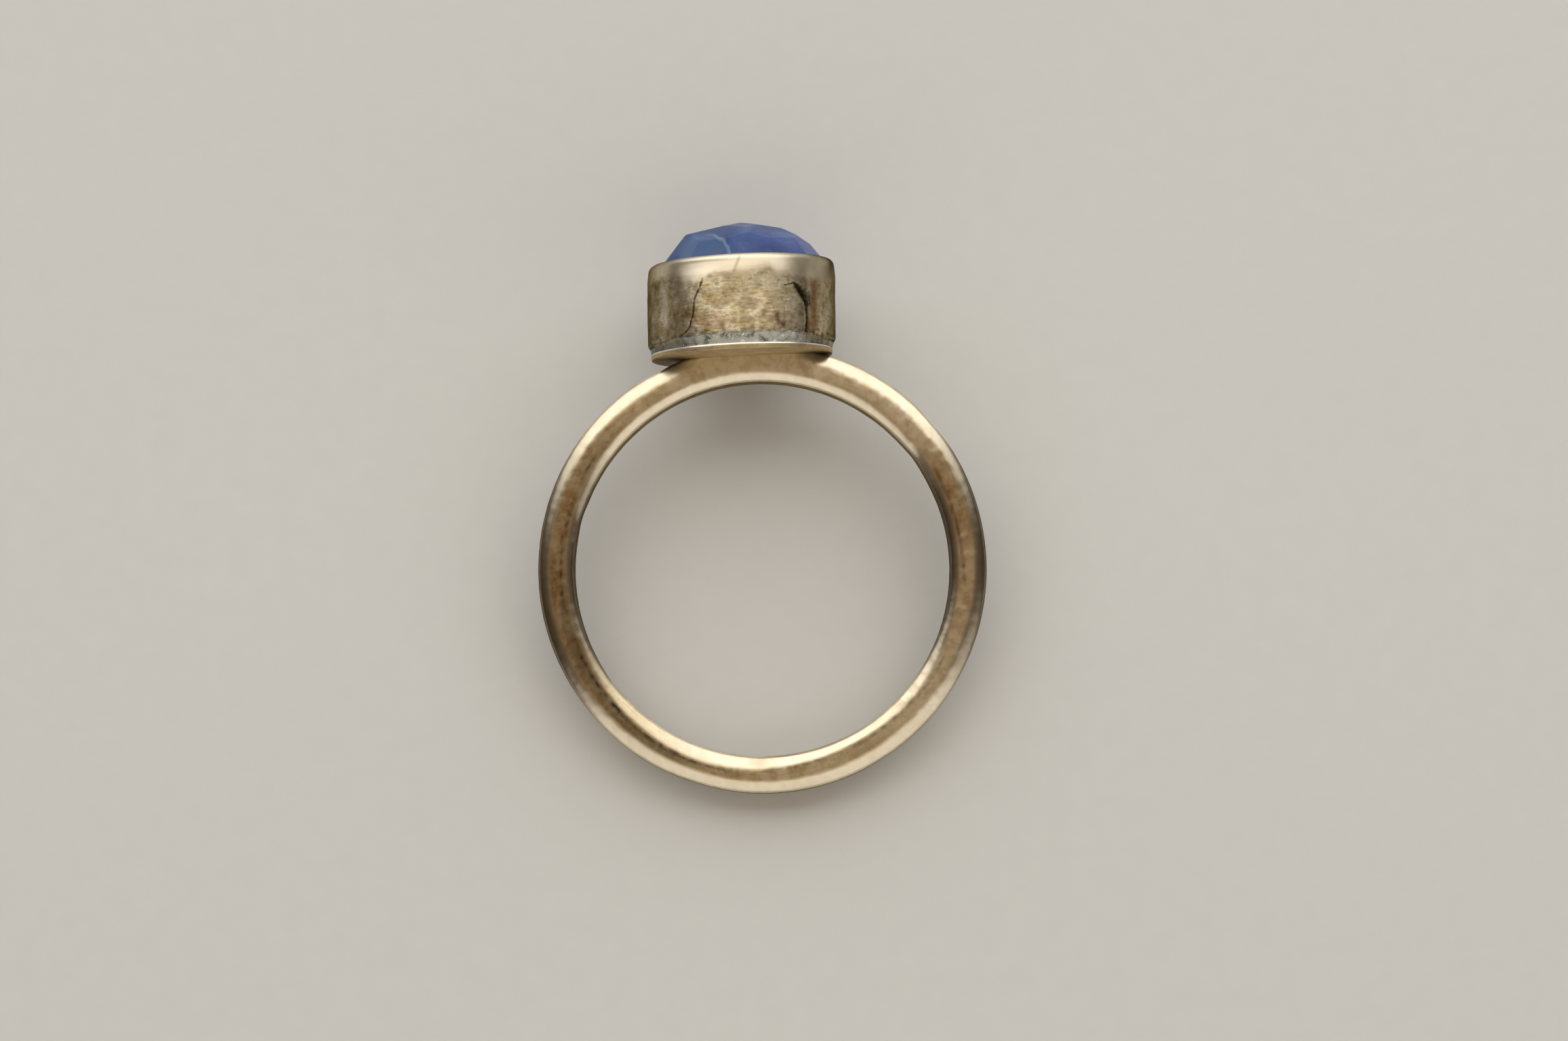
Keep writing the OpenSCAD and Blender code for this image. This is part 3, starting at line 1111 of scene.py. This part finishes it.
stone = {
    "radius": 3.96,
    "points": 180,  # round its side, which the cup hides
    "crownHeight": 1.9,
    "depth": 1.32,
    "edgeWear": 0.03,
    "leastFacetAngle": 3,  # degrees between two facets, or else they are one
    "wearAbove": -1.2,  # the edge of its flat back stays sharp
    "smoothAngle": 12,
    # Rings of facets: directions round the stone, slope, and where their planes meet its axis
    "star": {"directions": [30, 90, 150, 210, 270, 330], "slope": 12.5, "peak": 1.9},
    "shoulder": {"directions": [0, 55, 112, 248, 305], "slope": 28.5, "peak": 2.44},
    "girdle": {"directions": [8 + 30 * i for i in range(12)], "slope": 52, "peak": 4.635},
}


def isFacetEdge(edge):
    if edge.calc_face_angle(0) < radians(stone["leastFacetAngle"]):
        return False
    return min(vertex.co.z for vertex in edge.verts) > stone["wearAbove"]


def makeStone():
    clearSelection()
    height = stone["crownHeight"] + stone["depth"]
    bpy.ops.mesh.primitive_cylinder_add(
        vertices=stone["points"], radius=stone["radius"], depth=height,
        location=(0, 0, height / 2 - stone["depth"]),
    )
    piece = newPiece("stone")
    startEditing()
    for ring in (stone["star"], stone["shoulder"], stone["girdle"]):
        slope = radians(ring["slope"])
        for facing in ring["directions"]:
            turn = radians(facing)
            selectAll()
            bpy.ops.mesh.bisect(
                plane_co=(0, 0, ring["peak"]),
                plane_no=(sin(slope) * cos(turn), sin(slope) * sin(turn), cos(slope)),
                use_fill=True, clear_outer=True, threshold=0.0001,
            )
    selectAll()
    bpy.ops.mesh.remove_doubles(threshold=0.001)

    pick(piece, "EDGE", isFacetEdge)
    bpy.ops.mesh.bevel(offset=stone["edgeWear"], segments=2, affect="EDGES")
    bpy.ops.object.mode_set(mode="OBJECT")
    standOnSetting(piece, rimLevel)
    material = cloudedTanzanite("clouded faceted tanzanite", stoneLook)
    finishPiece(piece, material, "tanzanite", stone["smoothAngle"])
    print("stone done,", len(piece.data.polygons), "faces")


# Studio

studio = {
    "floorSize": 6,  # metres
    "floorColour": "d2d4d6",
    "floorRoughness": 0.85,
    "floorGrain": 900.0,  # grains of the paper to a metre
    "floorShades": (0.97, 1.03),
    "roomColour": "36281c",
    "ceilingColour": "a08b6e",
    "ceilingFrom": 0.5,  # from 0 at the horizon to 1 straight up
    "lightDistance": 0.5,  # metres
    # Soft lights as (azimuth, elevation, width and height in metres, power, colour)
    "lights": {
        "skyWindow": (90, 43, 1.45, 0.68, 4.7, "fffdf6"),
        "warmCard": (-82, 27, 1.7, 0.6, 2.8, "fffaf0"),
    },
}


def makeFloor():
    material, tree = newMaterial("matt pale paper")
    place = addNode(tree, "TexCoord")["Object"]
    grain = addNode(
        tree, "TexNoise",
        {"Vector": place, "Scale": studio["floorGrain"], "Detail": 4.0, "Roughness": 0.6},
    )["Fac"]
    dark, light = studio["floorShades"]
    shade = addNode(tree, "MapRange", {"Value": grain, "To Min": dark, "To Max": light})["Result"]
    colour = addNode(
        tree, "VectorMath", {0: hexColour(studio["floorColour"])[:3], "Scale": shade},
        {"operation": "SCALE"},
    )["Vector"]
    shader = addNode(
        tree, "BsdfPrincipled", {"Base Color": colour, "Roughness": studio["floorRoughness"]}
    )
    addNode(tree, "OutputMaterial", {"Surface": shader["BSDF"]})
    clearSelection()
    bpy.ops.mesh.primitive_plane_add(size=studio["floorSize"])
    paper = newPiece("floorPaper")
    paper.data.materials.append(material)


def addSoftLight(name, azimuth, elevation, width, height, power, colour):
    level = studio["lightDistance"] * cos(radians(elevation))
    place = (
        level * cos(radians(azimuth)), level * sin(radians(azimuth)),
        studio["lightDistance"] * sin(radians(elevation)),
    )
    clearSelection()
    bpy.ops.object.light_add(type="AREA", location=place)
    lamp = bpy.context.object
    lamp.name = name
    lamp.data.shape = "RECTANGLE"
    lamp.data.size = width
    lamp.data.size_y = height
    lamp.data.energy = power
    lamp.data.color = hexColour(colour)[:3]
    lamp.rotation_euler = (-Vector(place)).to_track_quat("-Z", "Y").to_euler()
    lamp.visible_camera = False


def lightStudio():
    for name, light in studio["lights"].items():
        addSoftLight(name, *light)
    world = bpy.data.worlds.new("dim room")
    world.use_nodes = True
    tree = world.node_tree
    way = addNode(tree, "TexCoord")["Generated"]
    height = addNode(tree, "SeparateXYZ", {"Vector": way})["Z"]
    share = addNode(
        tree, "MapRange", {"Value": height, "From Min": studio["ceilingFrom"], "From Max": 1.0}
    )["Result"]
    colour = addNode(
        tree, "Mix", {0: share, 6: hexColour(studio["roomColour"]), 7: hexColour(studio["ceilingColour"])},
        {"data_type": "RGBA"},
    )[2]
    tree.links.new(colour, tree.nodes["Background"].inputs["Color"])
    bpy.context.scene.world = world


# Camera, in millimetres and degrees, at the photograph's angle

shot = {
    "distance": 240,
    "elevation": 76.19,
    "aim": (1.07, 2.245, -0.034),  # from the ring's centre
    "roll": 2.5,
    "focalLength": 121.47,
    "sensorWidth": 36,
    "clipStart": 10,
}


def placeCamera():
    elevation = radians(shot["elevation"])
    roll = radians(shot["roll"])
    back = Vector((0, -cos(elevation), sin(elevation)))
    levelUp = Vector((0, sin(elevation), cos(elevation)))
    levelRight = Vector((1, 0, 0))
    right = levelRight * cos(roll) - levelUp * sin(roll)
    up = levelRight * sin(roll) + levelUp * cos(roll)
    aim = ringCentre + Vector(shot["aim"]) * mm
    turned = Matrix((right, up, back)).transposed().to_4x4()
    clearSelection()
    bpy.ops.object.camera_add()
    camera = bpy.context.object
    camera.name = "camera"
    camera.matrix_world = Matrix.Translation(aim + back * shot["distance"] * mm) @ turned
    camera.data.lens = shot["focalLength"]
    camera.data.sensor_width = shot["sensorWidth"]
    camera.data.clip_start = shot["clipStart"] * mm
    bpy.context.scene.camera = camera


placeCamera()
makeBand()
makeBackPlate()
makeCup()
makeSolderSeam()
makeStone()
makeFloor()
lightStudio()
bpy.context.scene.view_settings.view_transform = "Standard"
